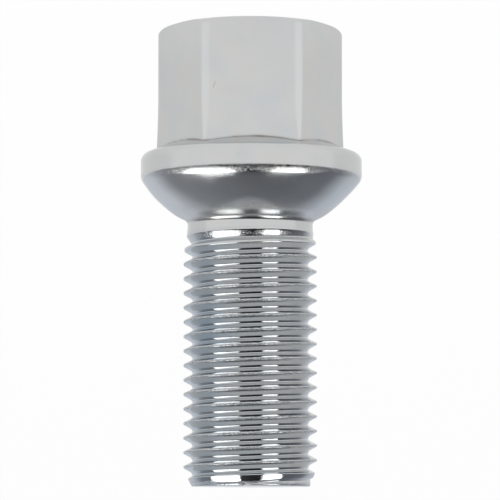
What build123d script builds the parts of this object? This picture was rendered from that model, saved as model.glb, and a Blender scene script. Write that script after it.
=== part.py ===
"""Wheel bolt with a hexagon head, a round collar, a ball seat and a threaded shank.

The bolt is one forging. It stands on the end of its head, with its axis on Z and the threaded end up.
All sizes are in millimetres and all angles in degrees.
"""

import math
import os

from build123d import *

# Hexagon head
hex_width = 17.0
hex_corner_rounding = 1.4
hex_filled_rounding = 0.5
hex_fill_length = 5.5
head_height = 13.55
crown_inset = 0.9
crown_slope = 9.0
crown_clearance = 0.2

# Collar between the head and the seat
collar_diameter = 23.0
collar_height = 2.45
collar_slope = 20.5
collar_shoulder_share = 0.56
collar_edge_rounding = 1.5

# Ball seat
seat_ball_radius = 14.0
seat_root_rounding = 1.2

# Shank: the plain neck, the thread over its crests, and the point
neck_diameter = 13.0
neck_length = 1.3
thread_diameter = 14.0
thread_start_length = 0.9
shank_length = 27.45
point_length = 2.0
point_diameter = 13.2
end_chamfer_length = 0.85
end_diameter = 11.9

# Radii
collar_radius = collar_diameter / 2
neck_radius = neck_diameter / 2
thread_radius = thread_diameter / 2
crown_radius = hex_width / 2 - crown_inset
point_radius = point_diameter / 2
end_radius = end_diameter / 2
hex_corner_radius = hex_width / math.sqrt(3)

# The crown's rounding ends just outside the middle of the flats, and the shoulder's takes a share of the ledge
crown_reach = hex_corner_radius - hex_width / 2 - crown_clearance
crown_rounding = crown_reach / (1 - math.sin(math.radians(crown_slope)))
collar_shoulder_rounding = collar_shoulder_share * (collar_radius - hex_corner_radius)

# Heights above the end of the head
crown_height = (hex_corner_radius - crown_radius) * math.tan(math.radians(crown_slope))
hex_fill_bottom = head_height - hex_fill_length
collar_top = head_height + collar_height
ball_center = collar_top - math.sqrt(seat_ball_radius**2 - collar_radius**2)
seat_top = ball_center + math.sqrt(seat_ball_radius**2 - neck_radius**2)
thread_start = seat_top + neck_length
thread_bottom = thread_start + thread_start_length
bolt_top = seat_top + shank_length
point_bottom = bolt_top - point_length
end_chamfer_bottom = bolt_top - end_chamfer_length

# The collar's cone runs on into the head, to the radius of the flat on the head's end
cone_bottom = head_height - (collar_radius - crown_radius) * math.tan(math.radians(collar_slope))

# Directions of the ball's radius at the collar and at the neck, from the horizontal
seat_angle_low = math.degrees(math.acos(collar_radius / seat_ball_radius))
seat_angle_high = math.degrees(math.acos(neck_radius / seat_ball_radius))

with BuildPart() as wheel_bolt:
    # Six flats with rounded corners, which the forging fills sharper towards the collar
    for height, rounding in (
        (0, hex_corner_rounding),
        (hex_fill_bottom, hex_corner_rounding),
        (head_height, hex_filled_rounding),
    ):
        with BuildSketch(Plane.XY.offset(height)):
            RegularPolygon(radius=hex_width / 2, side_count=6, major_radius=False)
            fillet(vertices(), radius=rounding)
    loft(ruled=True)

    # Turned end of the head: a flat, a shallow cone and a rounding that takes off the six corners
    with BuildSketch(Plane.XZ):
        with BuildLine():
            Polyline(
                (0, 0),
                (crown_radius, 0),
                (hex_corner_radius, crown_height),
                (hex_corner_radius, head_height),
                (0, head_height),
                close=True,
            )
        make_face()
        crown_corner = vertices().sort_by_distance((hex_corner_radius, crown_height))[0]
        fillet(crown_corner, radius=crown_rounding)
    revolve(axis=Axis.Z, mode=Mode.INTERSECT)

    # Collar, ball seat, neck, thread cylinder, point and end chamfer in one turned profile
    with BuildSketch(Plane.XZ):
        with BuildLine():
            Polyline(
                (0, cone_bottom),
                (crown_radius, cone_bottom),
                (collar_radius, head_height),
                (collar_radius, collar_top),
            )
            CenterArc(
                center=(0, ball_center),
                radius=seat_ball_radius,
                start_angle=seat_angle_low,
                arc_size=seat_angle_high - seat_angle_low,
            )
            Polyline(
                (neck_radius, seat_top),
                (neck_radius, thread_start),
                (thread_radius, thread_bottom),
                (thread_radius, point_bottom),
                (point_radius, end_chamfer_bottom),
                (end_radius, bolt_top),
                (0, bolt_top),
                (0, cone_bottom),
            )
        make_face()
        for corner, rounding in (
            ((collar_radius, head_height), collar_shoulder_rounding),
            ((collar_radius, collar_top), collar_edge_rounding),
            ((neck_radius, seat_top), seat_root_rounding),
        ):
            fillet(vertices().sort_by_distance(corner)[0], radius=rounding)
    revolve(axis=Axis.Z)

wheel_bolt.part.label = "wheel_bolt"

os.makedirs("parts", exist_ok=True)
export_step(wheel_bolt.part, "parts/wheel_bolt.step")
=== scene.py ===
"""A zinc-plated wheel bolt with a hexagon head, a collar, a ball seat and a rolled thread.

The bolt stands on the end of its head, as its frame does, with the threaded end up.
Sizes of the bolt are in millimetres. Its mesh, its material, the studio and the camera are in metres.
"""

import math

import bpy
import numpy as np
from mathutils import Matrix, Vector


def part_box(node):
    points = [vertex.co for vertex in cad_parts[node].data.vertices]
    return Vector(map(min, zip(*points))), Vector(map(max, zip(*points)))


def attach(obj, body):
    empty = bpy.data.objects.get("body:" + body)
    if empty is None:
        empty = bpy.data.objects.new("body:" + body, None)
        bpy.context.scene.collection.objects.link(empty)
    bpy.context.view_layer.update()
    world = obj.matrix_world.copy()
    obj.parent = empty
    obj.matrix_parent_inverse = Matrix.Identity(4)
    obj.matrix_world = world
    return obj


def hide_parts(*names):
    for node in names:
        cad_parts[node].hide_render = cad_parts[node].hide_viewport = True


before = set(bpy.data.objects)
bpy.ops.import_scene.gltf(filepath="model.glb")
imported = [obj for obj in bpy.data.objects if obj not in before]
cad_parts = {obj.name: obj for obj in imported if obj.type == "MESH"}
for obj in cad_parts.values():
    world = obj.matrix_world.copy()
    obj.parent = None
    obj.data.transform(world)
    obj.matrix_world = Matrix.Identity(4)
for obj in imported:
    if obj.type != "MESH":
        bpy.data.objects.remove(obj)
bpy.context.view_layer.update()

MM = 0.001

# Sizes that the frame gives
_, node_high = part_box("wheel_bolt")
bolt_length = node_high.z / MM
collar_radius = node_high.x / MM

# Hexagon head
hex_width = 17.0
hex_corner_rounding = 1.4
hex_filled_rounding = 0.35
hex_fill_length = 5.5
hex_fill_power = 1.5
hex_root_rounding = 0.16
head_height = 13.55
crown_inset = 0.9
crown_slope = math.radians(9.0)
crown_clearance = 0.2
crown_edge_rounding = 0.14
half_sixth = math.radians(30)

# Collar and ball seat, with the ranges of radius over which the collar shifts aside and the seat drops
collar_height = 2.45
collar_slope = math.radians(20.5)
collar_shoulder_share = 0.56
collar_edge_rounding = 1.5
collar_shift = 0.12
collar_shift_range = (9.85, collar_radius)
seat_ball_radius = 13.88
seat_root_rounding = 0.6
seat_root_drop = 0.1
seat_drop_range = (7.9, 6.85)

# Neck and rolled thread; the groove's floor has its radius at the given place across the pitch
neck_radius = 6.5
pitch = 1.5
crest_radius = 6.93
crest_width = 0.19
crest_trim = 0.02
crest_softness = 0.035
flank_tilt = math.radians(62.8)
groove_radius = 5.96
groove_place = 0.85
groove_slant = 0.335
groove_softness = (0.125, 0.13)

# Height of the helix at the X axis, carried down to the head by whole pitches, and their number
crest_height_at_x = 0.895
pitches_to_neck = 13

# Seam along the crests: short nicks that come in patches
seam_depth = 0.05
seam_seed = 7
seam_patch_columns = 41
seam_patch_range = (0.42, 0.54)
seam_nick_power = 3
seam_radius_range = (6.7, 6.9)

# Run-in of the thread along the helix: turning angles in degrees, and the values there
run_in_crest = ([330, 360, 540, 720, 900], [neck_radius, 6.6, 6.82, 6.84, crest_radius])
run_in_wall_start = ([180, 270, 360], [0.55, 0.28, crest_width / 2 - crest_trim])
run_in_wall_tilt = ([270, 360, 540], [24.0, 34.0, math.degrees(flank_tilt)])
run_in_wall_rise = (360, 540)
run_in_depth = (120, 240)

# Outline of the point: radius and height below the end of the bolt
point_outline = ([crest_radius, 6.60, 6.27, 6.08], [2.0, 1.08, 0.42, 0.12])
point_rounding = 0.15
point_softness = 0.02
end_ring_radius = 4.6

# Lip on one side of the end's edge: its growth is the direction in degrees and the share of its height there
lip_radius = 6.22
lip_height = 0.6
lip_ledge = 0.12
lip_rounding = 0.14
lip_growth = ([100, 165, 225, 240, 262, 278], [0.0, 1.0, 1.0, 0.9, 0.45, 0.0])

# Mesh columns: one sixth of a turn has the columns of a corner and of a flat, and the seam is behind
corner_columns = 9
corner_turn = np.linspace(-half_sixth, half_sixth, corner_columns)
flat_share = np.array([0.105, 0.21, 0.315, 0.42, 0.53, 0.63, 0.73, 0.82, 0.90, 0.955, 0.987])
flat_share = np.concatenate([-flat_share[::-1], [0.0], flat_share])
sixth_columns = len(corner_turn) + len(flat_share)
columns = 6 * sixth_columns
seam_angle = math.radians(90.0)

# Mesh rows: radii on the end of the head, distances across half a pitch, and shares of the way on the others
head_end_rows = [1.2, 2.6, 4.0, 5.4, 6.6, 7.3, 7.54]
crown_rows = [0.0, 0.1, 0.3, 0.55, 0.8, 0.95]
flat_rows = [0.008, 0.05, 0.16, 0.33, 0.5, 0.6, 0.7, 0.8, 0.9, 0.96, 0.992]
cone_rows = [0.05, 0.25, 0.5, 0.75, 0.95]
rim_rows = [0.06, 0.3, 0.6, 0.9]
half_pitch_rows = [0.0, 0.05, 0.10, 0.15, 0.20, 0.32, 0.46, 0.56, 0.63, 0.69]
point_rounding_rows = [0.1, 0.28, 0.46, 0.64, 0.82, 1.0]
bolt_end_rows = [0.75, 0.5, 0.25]

# Gaps between the rows of neighbouring parts, and hairs that keep a point on the right side of a limit
crown_low_gap = 0.06
crown_high_gap = 0.02
seat_end_gap = 0.003
crest_hair = 1e-9
end_hair = 1e-6

# Rubbed corners of the hexagon, with a painted highlight: ranges from the flat to the corner and below the
# collar's cone
rub_and_highlight_range = (0.25, 0.95)
rub_and_highlight_root_range = (0.0, 0.3)
# Share of the wear and painted highlight left on the corners on the left in the camera's view
rub_and_highlight_left_share = 0.72

# Torn plating on the crests, and less of it on the collar's edge, at the thread's start and at the bolt's end
torn_crest_range = (6.84, 6.90)
torn_collar_share = 0.13
torn_collar_width = 0.35
torn_collar_radius = 11
torn_start_share = 0.10
torn_start_height = (22.2, 0.45)
torn_end_share = 0.45
torn_end_depth = (0.45, 0.35)
torn_end_radius = 5.8
shank_limit = 7.1

# Blue stain: middle and width of its direction in degrees and of its patch's height, and where it fades
blue_direction = (322, 26)
blue_height = (31.8, 2.2)
blue_patch_share = 0.5
blue_radius_range = (7.0, 6.7)
blue_start_length = 2

# Dirt and painted shade in the creases: middles and widths out from the flats, below the collar's cone, and
# round the seat's root
dirt_and_shade_out = (0.0, 0.13)
dirt_and_shade_below = (0.0, 0.11)
dirt_and_shade_seat_share = 0.5
dirt_and_shade_seat_radius = (neck_radius + 0.1, 0.15)
dirt_and_shade_seat_height = (20.5, 0.2)

# Colours of the plating
bluish_zinc = (0.597, 0.614, 0.622, 1)
tan_zinc = (0.630, 0.628, 0.616, 1)
shank_zinc = (0.50, 0.53, 0.56, 1)
blue_zinc = (0.37, 0.46, 0.54, 1)
# Colour of the rubbed corners: wear, and a painted highlight
rubbed_and_highlit_zinc = (0.74, 0.76, 0.77, 1)
# Brown of the creases: dirt, and painted shade
brown_dirt_and_shade = (0.13, 0.10, 0.07, 1)
scratch_grey = (0.33, 0.32, 0.30, 1)

# Most that each colour takes over from the one before, and the least and most for the dirt and painted shade
shank_tint = 0.35
blue_tint = 0.55
rubbed_and_highlit_tint = 0.45
dirt_and_shade_tint = (0.2, 0.75)
scratch_tint = 0.5

# Roughness of the plating: of its clouds, the share left on the shank, and what tears and the seat's root add
cloud_roughness = (0.08, 0.17)
shank_roughness_share = 0.7
torn_roughness = 0.07
seat_root_roughness = 0.16

# Heights in metres at which the shank's plating begins, and the haze at the seat's root comes and goes
shank_begins = (0.0205, 0.0235)
seat_haze_begins = (0.0186, 0.0198)
seat_haze_ends = (0.0204, 0.0207)

# Parts of the noises' range over which the clouds, the dirt and painted shade, the haze and the specks come
# up
cloud_range = (0.35, 0.65)
dirt_and_shade_range = (0.35, 0.6)
haze_range = (0.3, 0.7)
speck_range = (0.5, 0.65)

# Bumps of the plating: their strengths, and their heights in metres
grain_strength = 0.10
grain_distance = 0.00005
speck_strength = 0.9
speck_distance = 0.00008

# Scratch on the front flat, in metres: its middle and lean, and where it fades across, along and in depth
scratch_middle = (0.00385, 0, 0.0072)
scratch_lean = math.radians(19)
scratch_across = (0.00002, 0.00007)
scratch_along = (0.00025, 0.00042)
scratch_depth = (-0.0082, -0.0078)

# Floor: its rings in metres, its gap under the bolt in millimetres, its greys, and its shares of plain white
floor_rings = [0.3, 1.0, 5.0]
floor_columns = 64
floor_gap = 0.01
floor_grey = 0.9
# Painted shade behind the bolt: where it begins and ends in metres, and the share of the colour left there
floor_behind = (-0.014, 0.012)
floor_behind_share = 0.90
floor_white_to_eye = 0.98
floor_white_in_mirror = 0.8

# Studio: its greys by the share of the way from front to back, their cast, and their change from side to side
white = (1, 1, 1, 1)
room_greys = [
    (0.0, 0.035), (0.26, 0.03), (0.32, 0.16), (0.5, 0.20), (0.70, 0.26),
    (0.78, 0.48), (0.86, 0.69), (0.94, 0.70), (1.0, 0.66),
]
room_cast = (0.95, 1.0, 1.09)
room_side_range = (-0.5, 0.5)
room_side_grey = (-0.04, 0.04)
white_below = math.radians(3)

# Soft boxes: the ends of each back edge, on the plane one unit up, and the share of its depth that dims
left_box_edge = [(0.232, -0.42), (1.12, 0.07)]
left_box_dimming = 0.85
right_box_edge = [(-0.262, -0.42), (-0.75, -0.15)]
right_box_dimming = 0.66
box_depth = math.radians(46)
box_fading = 0.16
box_front_share = 0.08
box_distance = 0.6
box_radiance = 4.3
box_aim = Vector((0, 0, 0.02))

# Camera, for an image of the given width in pixels
image_pixels = 500
focal_pixels = 3285
sensor_width = 36.0
camera_distance = 0.340
camera_height = 0.0530
camera_azimuth = math.radians(1.3)
camera_target = Vector((0.00002, 0, 0.02335))
camera_clip = (0.01, 100.0)

# Numbers of the colour sockets on Blender's mix node
mix_first = 6
mix_second = 7
mix_result = 2

# Heights and radii that follow
apothem = hex_width / 2
crown_radius = apothem - crown_inset
hex_corner_radius = hex_width / math.sqrt(3)
crown_rounding = (hex_corner_radius - apothem - crown_clearance) / (1 - math.sin(crown_slope))
collar_shoulder_rounding = collar_shoulder_share * (collar_radius - hex_corner_radius)
collar_top = head_height + collar_height
ball_center = collar_top - math.sqrt(seat_ball_radius**2 - collar_radius**2)
thread_bottom = crest_height_at_x + pitch * (seam_angle / math.tau + pitches_to_neck)


def smooth(share):
    """The smooth step from nought to one."""
    share = np.clip(share, 0, 1)
    return share * share * (3 - 2 * share)


def between(value, limits):
    """The smooth step from nought at the first limit to one at the second."""
    first, second = limits
    return smooth((value - first) / (second - first))


def hump(value, middle, width):
    """The bell curve that is one at the middle and falls off over the width."""
    return np.exp(-(((value - middle) / width) ** 2))


def upright(values):
    """Values as a column, one for each row of the mesh."""
    return np.array(values)[:, None]


def even_angles():
    """Directions of the mesh's columns, evenly spread over one turn from the seam."""
    return seam_angle + np.arange(columns) * math.tau / columns


def hexagon(rounding):
    """Direction and radius of every column on a hexagon whose corners have the given rounding.

    A corner's columns lie on the circle that touches both flats, evenly spread over the sixty degrees
    that its normal turns through. A flat's columns are at fixed shares of the straight part between two
    corners.
    """
    number = np.arange(columns) + sixth_columns + len(corner_turn) + len(flat_share) // 2
    sixth, within = np.divmod(number, sixth_columns)
    in_corner = within < len(corner_turn)
    turn = corner_turn[np.where(in_corner, within, 0)]
    share = flat_share[np.where(in_corner, 0, within - len(corner_turn))]
    straight = apothem - rounding
    out = np.where(in_corner, straight / math.cos(half_sixth) + rounding * np.cos(turn), apothem)
    aside = np.where(in_corner, rounding * np.sin(turn), share * straight * math.tan(half_sixth))
    middle = 2 * half_sixth * sixth + np.where(in_corner, 0, half_sixth)
    return middle + np.arctan2(aside, out), np.hypot(out, aside)


def corner_rounding(height):
    """Rounding of the hexagon's corners at a height: even at first, then less and less towards the collar."""
    share = np.clip((height - head_height + hex_fill_length) / hex_fill_length, 0, 1)
    return hex_corner_rounding + (hex_filled_rounding - hex_corner_rounding) * share**hex_fill_power


def crown_height(radius):
    """Height of the turned end of the head at a radius: a flat, a shallow cone, and an arc into the wall."""
    slope = math.tan(crown_slope)
    arc_radius = hex_corner_radius - crown_rounding
    arc_height = slope * (arc_radius - crown_radius) + crown_rounding / math.cos(crown_slope)
    cone = slope * np.maximum(radius - crown_radius, 0)
    rounded = arc_height - np.sqrt(np.maximum(crown_rounding**2 - (radius - arc_radius) ** 2, 0))
    return np.where(radius > arc_radius + crown_rounding * math.sin(crown_slope), rounded, cone)


def collar_cone_height(radius):
    """Height of the collar's cone at a radius."""
    return head_height - (collar_radius - radius) * math.tan(collar_slope)


def bend(first, corner, last, steps):
    """Points of a soft corner: the quadratic curve from first to last that heads for the corner."""
    t = np.linspace(0, 1, steps)[:, None]
    return tuple(
        (1 - t) ** 2 * a + 2 * t * (1 - t) * b + t**2 * c for a, b, c in zip(first, corner, last)
    )


def arc(center, radius, start, stop, steps):
    """Points of a circle's arc, from one angle to another, as one column."""
    angle = np.linspace(start, stop, steps)[:, None]
    return center[0] + radius * np.cos(angle), center[1] + radius * np.sin(angle)


def head_rows():
    """Directions, radii and heights of the head, collar, seat and neck, row by row from the head's end up.

    Every column is the same outline in its own half plane. Only the wall of the hexagon differs: it stands
    at the hexagon's radius, so the crown and the collar's cone meet it at a height of their own in each
    direction. From the hexagon's root to the shoulder the columns spread out evenly.
    """
    parts = []
    low_angle, low_wall = hexagon(hex_corner_rounding)

    # Height of the hexagon's root, found in a few rounds because the corners' rounding depends on it
    root = np.full(columns, head_height)
    for _ in range(5):
        root_angle, wall = hexagon(corner_rounding(root))
        root = collar_cone_height(wall)

    # Flat end, crown and the soft edge between the crown and the wall
    end_radii = upright(head_end_rows)
    parts.append((low_angle, end_radii, 0 * end_radii))
    edge_in = low_wall - crown_edge_rounding
    across = upright(crown_rows)
    crown = (crown_radius + crown_low_gap) * (1 - across) + (edge_in - crown_high_gap) * across
    parts.append((low_angle, crown, crown_height(crown)))
    edge_low = crown_height(low_wall)
    edge_high = edge_low + crown_edge_rounding
    edge = bend((edge_in, crown_height(edge_in)), (low_wall, edge_low), (low_wall, edge_high), steps=5)
    parts.append((low_angle, *edge))

    # Wall of the hexagon and its root on the collar's cone
    reach = hex_root_rounding / math.tan((math.pi / 2 + collar_slope) / 2)
    root_low = root - reach
    up = upright(flat_rows)
    flat_height = edge_high * (1 - up) + root_low * up
    parts.append((*hexagon(corner_rounding(flat_height)), flat_height))
    root_out = wall + reach * math.cos(collar_slope)
    root_bend = bend((wall, root_low), (wall, root), (root_out, collar_cone_height(root_out)), steps=6)
    parts.append((root_angle, *root_bend))

    # Cone and shoulder of the collar
    shoulder_radius = collar_radius - collar_shoulder_rounding
    shoulder_rise = collar_shoulder_rounding / math.cos(collar_slope)
    shoulder_height = collar_cone_height(shoulder_radius) + shoulder_rise
    cone_end = shoulder_radius + collar_shoulder_rounding * math.sin(collar_slope)
    out = upright(cone_rows)
    cone = root_out * (1 - out) + cone_end * out
    even = even_angles()
    parts.append((root_angle * (1 - out) + even * out, cone, collar_cone_height(cone)))
    shoulder = (shoulder_radius, shoulder_height)
    parts.append((even, *arc(shoulder, collar_shoulder_rounding, collar_slope - math.pi / 2, 0, steps=12)))

    # Rim of the collar and its lower edge
    edge_radius = collar_radius - collar_edge_rounding
    edge_reach = seat_ball_radius - collar_edge_rounding
    edge_height = ball_center + math.sqrt(edge_reach**2 - edge_radius**2)
    seat_low = math.acos(edge_radius / edge_reach)
    up = upright(rim_rows)
    parts.append((even, collar_radius + 0 * up, shoulder_height * (1 - up) + edge_height * up))
    parts.append((even, *arc((edge_radius, edge_height), collar_edge_rounding, 0, seat_low, steps=14)))

    # Ball seat, its root and the ring at the top of the neck
    root_radius = neck_radius + seat_root_rounding
    root_reach = seat_ball_radius + seat_root_rounding
    root_height = ball_center + math.sqrt(root_reach**2 - root_radius**2)
    seat_high = math.acos(root_radius / root_reach)
    seat_ends = (seat_low + seat_end_gap, seat_high - seat_end_gap)
    seat, seat_height = arc((0, ball_center), seat_ball_radius, *seat_ends, steps=24)
    parts.append((even, seat, seat_height - seat_root_drop * between(seat, seat_drop_range)))
    seat_root = (root_radius, root_height - seat_root_drop)
    parts.append((even, *arc(seat_root, seat_root_rounding, seat_high + math.pi, math.pi, steps=12)))
    parts.append((even, np.array([[neck_radius]]), np.array([[thread_bottom]])))

    every = np.ones((1, columns))
    angle = np.concatenate([a + 0 * r * every for a, r, _ in parts])
    radius = np.concatenate([r * every for _, r, _ in parts])
    height = np.concatenate([z * every for _, _, z in parts])
    return angle, radius, height


def outline(along):
    """Radius and height on the shank's outline over the crests, by the distance along it.

    Up to the point the distance is the height. Then come the point's tapers, the quarter turn of its
    rounding and the flat end, towards the axis.
    """
    radius, below = np.array(point_outline)
    height = bolt_length - below
    turn = np.array(point_rounding_rows) * (math.pi / 2)
    round_radius = radius[-1] - point_rounding * (1 - np.cos(turn))
    round_height = height[-1] + (bolt_length - height[-1]) * np.sin(turn)
    radius = np.concatenate([[crest_radius], radius, round_radius, [0.0]])
    height = np.concatenate([[0.0], height, round_height, [bolt_length]])
    step = np.hypot(np.diff(radius), np.diff(height))
    distance = np.concatenate([[0.0], np.cumsum(step)])
    return np.interp(along, distance, radius), np.interp(along, distance, height)


def outline_length(radius):
    """Distance along the shank's outline to the ring with the given radius on the flat end."""
    samples = 2000
    along = np.linspace(bolt_length, bolt_length + crest_radius, samples)
    return along[np.argmin(np.abs(outline(along)[0] - radius))]


def soft_least(a, b, softness):
    """The lesser of two values, with the corner between them rounded over the given softness."""
    gap = np.sqrt((a - b) ** 2 + softness**2)
    return (a + b - gap) / 2


def pitch_steps():
    """Places of the mesh's rows across one pitch, as distances from the middle of the crest below."""
    half = np.array(half_pitch_rows)
    return np.concatenate([half, [pitch / 2], pitch - half[:0:-1]])


def helix_height(turning):
    """Height of the crest's middle by the angle along the helix: one pitch a turn."""
    return thread_bottom + pitch * (turning - seam_angle) / math.tau


def lipped(angle, radius, height):
    """Radius of the shank with the lip at the edge of its end.

    The lip is an upright wall with a rounded edge, as high as its direction's share of the full height.
    Under it a short ledge leads out to the point's own outline.
    """
    depth = bolt_length - height
    tall = lip_height * np.interp(np.degrees(angle) % 360, *lip_growth)
    turn = np.minimum(depth / lip_rounding, 1) * math.pi / 2
    wall = lip_radius - lip_rounding * (1 - np.sin(turn))
    share = smooth((tall + lip_ledge - depth) / lip_ledge) * smooth(tall / lip_ledge)
    return np.where(depth > end_hair, radius * (1 - share) + wall * share, radius)


def thread_surface(turning, across):
    """Radius and height of the threaded shank, by the angle along the helix and the place across the pitch.

    A groove lies between two turns of the crest. Each of its walls falls from its crest at its own tilt,
    down to the groove's floor, which slants a little towards the bolt's end. In the first turns, where the
    thread runs in from the neck, the crests are lower and so wider, and the wall next to the neck begins
    later and is less steep. The point's outline and the lip bound it at the bolt's end.
    """
    limit, height = outline(helix_height(turning) + across)
    degrees = np.degrees(turning)
    low_crest = np.interp(degrees, *run_in_crest)
    high_crest = np.interp(degrees + 360, *run_in_crest)
    place = (height - helix_height(turning) + crest_hair) % pitch
    plain = low_crest + (high_crest - low_crest) * smooth(place / pitch)
    tilt = np.tan(np.radians(np.interp(degrees, *run_in_wall_tilt)))
    low_top = low_crest + (crest_radius - low_crest) * between(degrees, run_in_wall_rise)
    low_wall = low_top - tilt * (place - np.interp(degrees, *run_in_wall_start))
    high_wall = crest_radius - math.tan(flank_tilt) * (pitch - place - crest_width / 2)
    floor = groove_radius + groove_slant * (groove_place - place)
    walls = -soft_least(-low_wall, -floor, groove_softness[0])
    walls = -soft_least(-high_wall, -walls, groove_softness[1])
    plain = soft_least(plain, limit, point_softness)
    cut = soft_least(plain, walls, crest_softness)
    depth = between(degrees, run_in_depth)
    radius = plain * (1 - depth) + cut * depth
    radius = np.where(height < bolt_length - end_hair, np.minimum(radius, limit), limit)
    return lipped(turning, radius, height), height


def points(angle, radius, height):
    """Points in metres from their angle, radius and height round the axis."""
    x = radius * np.cos(angle)
    y = radius * np.sin(angle)
    return np.stack([x, y, height], axis=-1).reshape(-1, 3) * MM


def grid_faces(index):
    """Four-cornered faces of a grid of point numbers.

    They point outwards where the rows go up and the columns go round.
    """
    low_left = index[:-1, :-1]
    low_right = index[:-1, 1:]
    high_right = index[1:, 1:]
    high_left = index[1:, :-1]
    return np.stack([low_left, low_right, high_right, high_left], axis=-1).reshape(-1, 4)


def crest_seam(turning):
    """Depth of the fine seam that rolling leaves along the crest.

    It is a row of short, uneven nicks, which come in patches where a running mean of chance is high.
    """
    chance = np.random.default_rng(seam_seed)
    count = len(turning)
    window = np.ones(seam_patch_columns) / seam_patch_columns
    patchy = np.convolve(chance.random(count + seam_patch_columns - 1), window, mode="valid")
    nick = chance.random(count) ** seam_nick_power
    return seam_depth * nick * between(patchy, seam_patch_range)


def bolt_mesh():
    """The whole bolt as one closed mesh.

    The head is a grid of rows and columns. The thread is a grid that winds up the helix: its rows lie
    across the pitch, and its upper edge is its own lower edge one turn later. A wedge that opens over one
    turn joins the neck's level ring to the helix's lower edge, and one that closes joins its upper edge to
    the end's ring.
    """
    angles = even_angles()
    steps = pitch_steps()
    rows = len(steps)

    # Head, from the middle of its end to the ring at the top of the neck
    angle, radius, height = head_rows()
    aside = np.zeros((radius.size, 3))
    aside[:, 0] = -collar_shift * MM * between(radius.ravel(), collar_shift_range)
    place = [np.zeros((1, 3)), points(angle, radius, height) + aside]
    head = 1 + np.arange(radius.size).reshape(radius.shape)
    head = np.concatenate([head, head[:, :1]], axis=1)
    count = 1 + radius.size
    quads = [grid_faces(head)]
    tris = [np.stack([np.zeros(columns, int), head[0, 1:], head[0, :-1]], axis=-1)]

    # Helix: the lower edge of the strip, for all its columns and one turn more
    climb = outline_length(end_ring_radius) - thread_bottom
    strip_columns = int(round((climb / pitch - 1) * columns))
    turning = seam_angle + np.arange(strip_columns + columns + 1) * math.tau / columns
    strip_turning = turning[: strip_columns + 1]
    edge_radius, edge_height = thread_surface(turning, 0 * turning)
    nicked = between(edge_radius, seam_radius_range)
    place.append(points(turning, edge_radius - crest_seam(turning) * nicked, edge_height))
    edge = count + np.arange(len(turning))
    edge[0] = head[-1, 0]
    count += len(turning)

    # Strip between the edge and the edge one turn later
    inner_across = steps[1:, None] + 0 * strip_turning[None, :]
    inner_turning = strip_turning[None, :] + 0 * inner_across
    inner_radius, inner_height = thread_surface(inner_turning, inner_across)
    place.append(points(inner_turning, inner_radius, inner_height))
    inner = count + np.arange(inner_radius.size).reshape(inner_radius.shape)
    count += inner_radius.size
    strip = np.concatenate([edge[None, : strip_columns + 1], inner, edge[None, columns:]])
    quads.append(grid_faces(strip))

    # Wedge that opens from the neck's ring to the first turn of the helix
    share = np.append(steps, pitch)[:, None] / pitch
    wedge_share = share[1:-1]
    lift = pitch * (angles[None, 1:] - seam_angle) / math.tau
    swell = np.interp(np.degrees(angles[None, 1:]), *run_in_crest) - neck_radius
    wedge_radius = neck_radius + swell * wedge_share**2
    wedge_height = thread_bottom + lift * wedge_share
    place.append(points(angles[None, 1:] + 0 * wedge_height, wedge_radius, wedge_height))
    wedge = count + np.arange(wedge_radius.size).reshape(wedge_radius.shape)
    count += wedge_radius.size
    opening = np.concatenate([head[-1:, 1:columns], wedge, edge[None, 1:columns]])
    opening = np.concatenate([opening, strip[:, :1]], axis=1)
    quads.append(grid_faces(opening))
    tris.append(np.stack([np.full(rows, edge[0]), opening[:-1, 0], opening[1:, 0]], axis=-1))

    # Wedge that closes from the last turn of the helix to the end's ring
    last = turning[strip_columns:]
    last_along = helix_height(last)
    end_along = last_along[-1]
    close_along = last_along[None, 1:-1] * (1 - share[1:]) + end_along * share[1:]
    close_radius, close_height = outline(close_along)
    close_turning = last[None, 1:-1] + 0 * close_along
    close_radius = lipped(close_turning, close_radius, close_height)
    place.append(points(close_turning, close_radius, close_height))
    close = count + np.arange(close_radius.size).reshape(close_radius.shape)
    count += close_radius.size
    closing = np.concatenate([edge[None, strip_columns + 1 : -1], close])
    closing = np.concatenate([strip[:, -1:], closing], axis=1)
    quads.append(grid_faces(closing))
    tip = edge[-1]
    tris.append(np.stack([closing[:-1, -1], np.full(rows, tip), closing[1:, -1]], axis=-1))

    # Flat end, from its ring to the middle
    ring = np.append(closing[-1], closing[-1, 0])
    inward = upright(bolt_end_rows) * outline(end_along)[0]
    flat_angle = last[None, :-1] + 0 * inward
    place.append(points(flat_angle, inward + 0 * flat_angle, bolt_length + 0 * flat_angle))
    flat = count + np.arange(flat_angle.size).reshape(flat_angle.shape)
    count += flat_angle.size
    flat = np.concatenate([flat, flat[:, :1]], axis=1)
    quads.append(grid_faces(np.concatenate([ring[None, :], flat])))
    place.append(np.array([[0, 0, bolt_length * MM]]))
    tris.append(np.stack([flat[-1, :-1], flat[-1, 1:], np.full(columns, count)], axis=-1))

    return np.concatenate(place), np.concatenate(quads), np.concatenate(tris)


def rubbed_and_highlit(angle, radius, height):
    """How bright a point of the hexagon's corners is made, from nought at the flats to one at the corner:
    partly rubbed wear, partly a painted highlight.

    The corners on the right in the camera's view get a little more of this painted highlight than those on
    the left.
    """
    rounding = corner_rounding(height)
    flat_end = np.hypot(apothem, (apothem - rounding) * math.tan(half_sixth))
    corner = (apothem - rounding) / math.cos(half_sixth) + rounding
    share = (radius - flat_end) / (corner - flat_end)
    side = np.where(np.cos(angle) < 0, 1.0, rub_and_highlight_left_share)
    below = collar_cone_height(radius) - height
    return side * between(share, rub_and_highlight_range) * between(below, rub_and_highlight_root_range)


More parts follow.
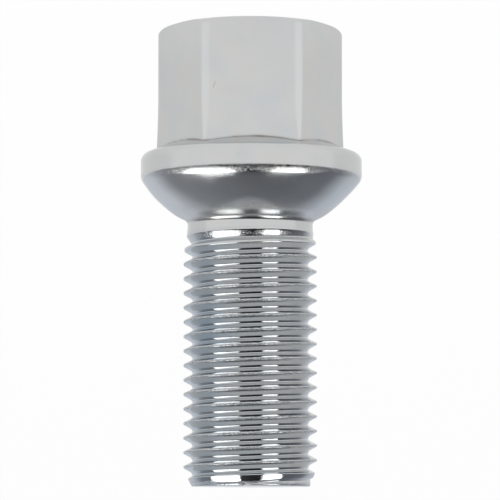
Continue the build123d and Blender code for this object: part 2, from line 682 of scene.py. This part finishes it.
def torn(radius, height):
    """How torn a point's plating is, from nought to one: most on the thread's crests.

    It is less torn on the collar's edge, where the thread starts above the neck, and round the edge of the
    bolt's end.
    """
    on_shank = radius < shank_limit
    crest = between(radius, torn_crest_range) * on_shank * (height > thread_bottom)
    edge = hump(height, collar_top, torn_collar_width) * (radius > torn_collar_radius)
    start = hump(height, *torn_start_height) * on_shank
    end = between(bolt_length - height, torn_end_depth) * (radius > torn_end_radius)
    return np.maximum(crest, torn_collar_share * edge + torn_start_share * start + torn_end_share * end)


def blued(angle, radius, height):
    """How blue a point's plating is, from nought to one: a patch in the middle of the thread, on the left.

    Less of it spreads along the whole left side of the thread.
    """
    aside = hump(np.degrees(angle) % 360, *blue_direction)
    patch = 1 - blue_patch_share + blue_patch_share * hump(height, *blue_height)
    begun = between(height, (thread_bottom, thread_bottom + blue_start_length))
    return aside * patch * between(radius, blue_radius_range) * begun


def soiled_and_shaded(angle, radius, height):
    """How much dirt and painted shade a point holds, from nought to one: most at the hexagon's root, less at
    the seat's root.

    At the hexagon's root it fades with the distance out from the nearest flat and below the collar's cone.
    """
    from_flat = angle % (2 * half_sixth) - half_sixth
    outside = radius * np.cos(from_flat) - apothem
    below = collar_cone_height(radius) - height
    hexagon_root = hump(outside, *dirt_and_shade_out) * hump(below, *dirt_and_shade_below)
    seat_root = hump(radius, *dirt_and_shade_seat_radius) * hump(height, *dirt_and_shade_seat_height)
    return np.maximum(hexagon_root, dirt_and_shade_seat_share * seat_root)


def carry(made, place):
    """Gives every point of an object its values for the material."""
    radius = np.hypot(place[:, 0], place[:, 1]) / MM
    angle = np.arctan2(place[:, 1], place[:, 0])
    height = place[:, 2] / MM
    values = {
        "rubbed_and_highlit": rubbed_and_highlit(angle, radius, height),
        "torn": torn(radius, height),
        "blued": blued(angle, radius, height),
        "soiled_and_shaded": soiled_and_shaded(angle, radius, height),
    }
    for name, value in values.items():
        attribute = made.data.attributes.new(name, "FLOAT", "POINT")
        attribute.data.foreach_set("value", value.astype(np.float32))


def mesh_object(name, place, quads, tris, material):
    """A smooth-shaded object from points and faces."""
    mesh = bpy.data.meshes.new(name)
    mesh.vertices.add(len(place))
    mesh.vertices.foreach_set("co", place.astype(np.float32).ravel())
    corners = np.concatenate([quads.ravel(), tris.ravel()]).astype(np.int32)
    starts = np.concatenate([np.arange(len(quads)) * 4, quads.size + np.arange(len(tris)) * 3])
    mesh.loops.add(len(corners))
    mesh.loops.foreach_set("vertex_index", corners)
    mesh.polygons.add(len(starts))
    mesh.polygons.foreach_set("loop_start", starts.astype(np.int32))
    mesh.polygons.foreach_set("use_smooth", np.ones(len(starts), dtype=bool))
    mesh.update(calc_edges=True)
    if mesh.validate(verbose=True):
        print("the mesh was mended", name)
    mesh.materials.append(material)
    made = bpy.data.objects.new(name, mesh)
    bpy.context.scene.collection.objects.link(made)
    return made


def connect(tree, value, socket):
    """Joins an output to a socket, or sets the socket to a plain value."""
    if isinstance(value, bpy.types.NodeSocket):
        tree.links.new(value, socket)
    else:
        socket.default_value = value


def axes(tree, coordinate):
    """Outputs X, Y and Z of a texture coordinate."""
    coordinates = tree.nodes.new("ShaderNodeTexCoord")
    parts = tree.nodes.new("ShaderNodeSeparateXYZ")
    tree.links.new(coordinates.outputs[coordinate], parts.inputs[0])
    return parts.outputs


def noise(tree, scale, detail):
    """Output of a noise on the object's coordinates in metres."""
    coordinates = tree.nodes.new("ShaderNodeTexCoord")
    texture = tree.nodes.new("ShaderNodeTexNoise")
    texture.inputs["Scale"].default_value = scale
    texture.inputs["Detail"].default_value = detail
    tree.links.new(coordinates.outputs["Object"], texture.inputs["Vector"])
    return texture.outputs["Fac"]


def spread(tree, value, taken, given, way="LINEAR"):
    """Output that takes a value's range to another range and stops at its ends."""
    node = tree.nodes.new("ShaderNodeMapRange")
    node.interpolation_type = way
    for name, limit in zip(("From Min", "From Max", "To Min", "To Max"), (*taken, *given)):
        node.inputs[name].default_value = limit
    tree.links.new(value, node.inputs["Value"])
    return node.outputs[0]


def combine(tree, operation, *values):
    """Output of a sum, a product or another operation on outputs and plain numbers."""
    node = tree.nodes.new("ShaderNodeMath")
    node.operation = operation
    for value, socket in zip(values, node.inputs):
        connect(tree, value, socket)
    return node.outputs[0]


def blend(tree, factor, first, second, way="MIX"):
    """Output of a colour mix by a factor, from the first colour or output to the second."""
    node = tree.nodes.new("ShaderNodeMix")
    node.data_type = "RGBA"
    node.blend_type = way
    connect(tree, factor, node.inputs["Factor"])
    connect(tree, first, node.inputs[mix_first])
    connect(tree, second, node.inputs[mix_second])
    return node.outputs[mix_result]


def bump(tree, height, strength, distance):
    """A bump node on a height."""
    node = tree.nodes.new("ShaderNodeBump")
    node.inputs["Strength"].default_value = strength
    node.inputs["Distance"].default_value = distance
    tree.links.new(height, node.inputs["Height"])
    return node


def point_value(tree, name):
    """Output of a value that the mesh's points carry."""
    node = tree.nodes.new("ShaderNodeAttribute")
    node.attribute_name = name
    return node.outputs["Fac"]


def scratch(tree):
    """Output that is one on a short slanting scratch in the front flat and nought elsewhere."""
    coordinates = tree.nodes.new("ShaderNodeTexCoord")
    mapping = tree.nodes.new("ShaderNodeMapping")
    mapping.vector_type = "TEXTURE"
    mapping.inputs["Location"].default_value = scratch_middle
    mapping.inputs["Rotation"].default_value = (0, scratch_lean, 0)
    place = tree.nodes.new("ShaderNodeSeparateXYZ")
    tree.links.new(coordinates.outputs["Object"], mapping.inputs["Vector"])
    tree.links.new(mapping.outputs[0], place.inputs[0])
    mark = spread(tree, place.outputs["Y"], scratch_depth, (1, 0))
    for name, limits in (("X", scratch_across), ("Z", scratch_along)):
        size = combine(tree, "ABSOLUTE", place.outputs[name])
        mark = combine(tree, "MULTIPLY", mark, spread(tree, size, limits, (1, 0)))
    return mark


def zinc_plating():
    """Bright zinc plating, uneven in tint and shine, with wear and a painted highlight on its edges, and dirt
    and painted shade in its crevices.
    """
    material = bpy.data.materials.new("bright_zinc_plating")
    material.use_nodes = True
    tree = material.node_tree
    shader = tree.nodes["Principled BSDF"]
    shader.inputs["Metallic"].default_value = 1.0
    height = axes(tree, "Object")["Z"]
    tears = point_value(tree, "torn")

    # Tint: bluish and tan clouds, bluer on the shank, then the blue stain, the rubbed edges and their painted
    # highlight, dirt and painted shade, and scratch
    cloud = spread(tree, noise(tree, scale=260, detail=3), cloud_range, (0, 1))
    colour = blend(tree, cloud, bluish_zinc, tan_zinc)
    shank = spread(tree, height, shank_begins, (0, shank_tint))
    colour = blend(tree, shank, colour, shank_zinc)
    blue = spread(tree, point_value(tree, "blued"), (0, 1), (0, blue_tint))
    colour = blend(tree, blue, colour, blue_zinc)
    # Rubbed corners: wear, with a painted highlight brightening their colour
    rub_and_highlight = spread(tree, point_value(tree, "rubbed_and_highlit"), (0, 1), (0, rubbed_and_highlit_tint))
    colour = blend(tree, rub_and_highlight, colour, rubbed_and_highlit_zinc)
    # Dirt and painted shade in the creases, in patches
    patch = spread(tree, noise(tree, scale=350, detail=2), dirt_and_shade_range, dirt_and_shade_tint)
    dirt_and_shade = combine(tree, "MULTIPLY", point_value(tree, "soiled_and_shaded"), patch)
    colour = blend(tree, dirt_and_shade, colour, brown_dirt_and_shade)
    mark = spread(tree, scratch(tree), (0, 1), (0, scratch_tint))
    colour = blend(tree, mark, colour, scratch_grey)
    tree.links.new(colour, shader.inputs["Base Color"])

    # Roughness: hazy clouds, clearer on the shank, duller where it is torn and at the seat's root
    haze = spread(tree, noise(tree, scale=420, detail=4), haze_range, cloud_roughness)
    haze = combine(tree, "MULTIPLY", haze, spread(tree, height, shank_begins, (1, shank_roughness_share)))
    haze = combine(tree, "ADD", haze, spread(tree, tears, (0, 1), (0, torn_roughness)))
    root = spread(tree, height, seat_haze_begins, (0, seat_root_roughness))
    root = combine(tree, "MULTIPLY", root, spread(tree, height, seat_haze_ends, (1, 0)))
    tree.links.new(combine(tree, "ADD", haze, root), shader.inputs["Roughness"])

    # Fine grain of the plating, and torn specks
    grain = bump(tree, noise(tree, scale=7000, detail=2), grain_strength, grain_distance)
    speck = spread(tree, noise(tree, scale=8000, detail=3), speck_range, (0, 1))
    specks = bump(tree, combine(tree, "MULTIPLY", speck, tears), speck_strength, speck_distance)
    tree.links.new(grain.outputs[0], specks.inputs["Normal"])
    tree.links.new(specks.outputs[0], shader.inputs["Normal"])
    return material


def pale_floor():
    """Pale floor: white to the eye, and part white and part lit by the lamps in the metal's mirror.

    Behind the bolt its colour is a little greyer: painted shade, where the lamps reach less.
    """
    material = bpy.data.materials.new("pale_floor")
    material.use_nodes = True
    tree = material.node_tree
    tree.nodes.clear()
    output = tree.nodes.new("ShaderNodeOutputMaterial")
    mix = tree.nodes.new("ShaderNodeMixShader")
    lit = tree.nodes.new("ShaderNodeBsdfDiffuse")
    glow = tree.nodes.new("ShaderNodeEmission")
    glow.inputs["Strength"].default_value = 1.0
    ray = tree.nodes.new("ShaderNodeLightPath").outputs
    behind = spread(tree, axes(tree, "Object")["Y"], floor_behind, (1, floor_behind_share))
    tree.links.new(combine(tree, "MAXIMUM", behind, ray["Is Camera Ray"]), glow.inputs["Color"])
    tree.links.new(spread(tree, behind, (0, 1), (0, floor_grey)), lit.inputs["Color"])
    mirrored = combine(tree, "MAXIMUM", ray["Is Glossy Ray"], ray["Is Transmission Ray"])
    mirrored = combine(tree, "MULTIPLY", mirrored, floor_white_in_mirror)
    seen = combine(tree, "MULTIPLY_ADD", ray["Is Camera Ray"], floor_white_to_eye, mirrored)
    tree.links.new(seen, mix.inputs["Fac"])
    tree.links.new(lit.outputs[0], mix.inputs[1])
    tree.links.new(glow.outputs[0], mix.inputs[2])
    tree.links.new(mix.outputs[0], output.inputs["Surface"])
    return material


def studio_floor():
    """A round level floor, larger than the view, a hair under the bolt."""
    angle = np.linspace(0, math.tau, floor_columns + 1)[:-1]
    radius = upright(floor_rings) + 0 * angle[None, :]
    rings = points(angle[None, :] + 0 * radius, radius / MM, 0 * radius - floor_gap)
    place = np.concatenate([[(0, 0, -floor_gap * MM)], rings])
    index = 1 + np.arange(radius.size).reshape(radius.shape)
    index = np.concatenate([index, index[:, :1]], axis=1)
    quads = grid_faces(index)[:, ::-1]
    tris = np.stack([np.zeros(floor_columns, int), index[0, :-1], index[0, 1:]], axis=-1)
    return mesh_object("floor", place, quads, tris, pale_floor())


def studio_world():
    """A studio room: white low down all round and behind the bolt, grey above and black in front.

    The room's grey follows the direction's depth, from front to back, and is a little lighter on one side.
    Near the horizon and below it the grey gives way to white, like the floor's.
    """
    world = bpy.data.worlds.new("studio")
    bpy.context.scene.world = world
    world.use_nodes = True
    tree = world.node_tree
    tree.nodes.clear()
    output = tree.nodes.new("ShaderNodeOutputWorld")
    background = tree.nodes.new("ShaderNodeBackground")
    direction = axes(tree, "Generated")
    room = tree.nodes.new("ShaderNodeValToRGB")
    ramp = room.color_ramp
    ramp.elements[0].position = room_greys[0][0]
    ramp.elements[1].position = room_greys[-1][0]
    for depth, _ in room_greys[1:-1]:
        ramp.elements.new(depth)
    for element, (_, grey) in zip(ramp.elements, room_greys):
        element.color = (*(grey * part for part in room_cast), 1)
    tree.links.new(spread(tree, direction["Y"], (-1, 1), (0, 1)), room.inputs["Fac"])
    aside = spread(tree, direction["X"], room_side_range, room_side_grey)
    room_colour = blend(tree, 1.0, room.outputs["Color"], aside, way="ADD")
    low = spread(tree, direction["Z"], (0, math.sin(white_below)), (0, 1), way="SMOOTHSTEP")
    tree.links.new(blend(tree, low, white, room_colour), background.inputs["Color"])
    tree.links.new(background.outputs[0], output.inputs["Surface"])


def soft_box(name, edge, dimming):
    """A square-edged soft box, from the directions of the ends of its back edge.

    The ends are on the plane one unit above the bolt. From its back edge the box reaches down towards the
    front by its depth, an angle, and it stands square to its middle's direction at its distance. Its
    radiance fades out over a share of its depth at the back edge, and dims over another share towards its
    front edge.
    """
    first, second = (Vector((x, y, 1)).normalized() for x, y in edge)
    half = box_depth / 2
    back = (first + second).normalized()
    front = (second - first).normalized().cross(back)
    front = front if front.y < 0 else -front
    middle = math.cos(half) * back + math.sin(half) * front
    rise = math.sin(half) * back - math.cos(half) * front
    lamp = bpy.data.lights.new(name, "AREA")
    lamp.shape = "RECTANGLE"
    lamp.size = 2 * box_distance / math.cos(half) * math.tan(first.angle(second) / 2)
    lamp.size_y = 2 * box_distance * math.tan(half)
    lamp.energy = box_radiance * math.pi * lamp.size * lamp.size_y
    lamp.use_nodes = True
    tree = lamp.node_tree
    place = tree.nodes.new("ShaderNodeSeparateXYZ")
    surface = tree.nodes.new("ShaderNodeNewGeometry")
    tree.links.new(surface.outputs["Parametric"], place.inputs[0])
    back_fade = spread(tree, place.outputs["Y"], (1 - box_fading, 1), (1, 0))
    front_dim = spread(tree, place.outputs["Y"], (0, dimming), (box_front_share, 1))
    strength = combine(tree, "MULTIPLY", back_fade, front_dim)
    tree.links.new(strength, tree.nodes["Emission"].inputs["Strength"])
    made = bpy.data.objects.new(name, lamp)
    made.location = box_distance * middle + box_aim
    made.rotation_euler = Matrix((rise.cross(middle), rise, middle)).transposed().to_euler()
    made.visible_camera = False
    bpy.context.scene.collection.objects.link(made)


def studio_camera():
    """The camera at the photograph's angle.

    It looks slightly down, and is turned over, with its top towards the floor.
    """
    made = bpy.data.objects.new("camera", bpy.data.cameras.new("camera"))
    made.data.sensor_width = sensor_width
    made.data.lens = sensor_width * focal_pixels / image_pixels
    made.data.clip_start, made.data.clip_end = camera_clip
    across = camera_distance * math.sin(camera_azimuth)
    away = camera_distance * math.cos(camera_azimuth)
    place = Vector((across, -away, camera_height))
    look = camera_target - place
    turned = look.to_track_quat("-Z", "Y").to_matrix() @ Matrix.Rotation(math.pi, 3, "Z")
    made.matrix_world = Matrix.Translation(place) @ turned.to_4x4()
    bpy.context.scene.collection.objects.link(made)
    bpy.context.scene.camera = made


bolt_place, bolt_quads, bolt_tris = bolt_mesh()
bolt = mesh_object("plated_bolt", bolt_place, bolt_quads, bolt_tris, zinc_plating())
carry(bolt, bolt_place)
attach(bolt, "root")
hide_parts("wheel_bolt")

studio_floor()
studio_world()
soft_box("soft_box_left", left_box_edge, left_box_dimming)
soft_box("soft_box_right", right_box_edge, right_box_dimming)
studio_camera()

bpy.context.scene.view_settings.view_transform = "Standard"
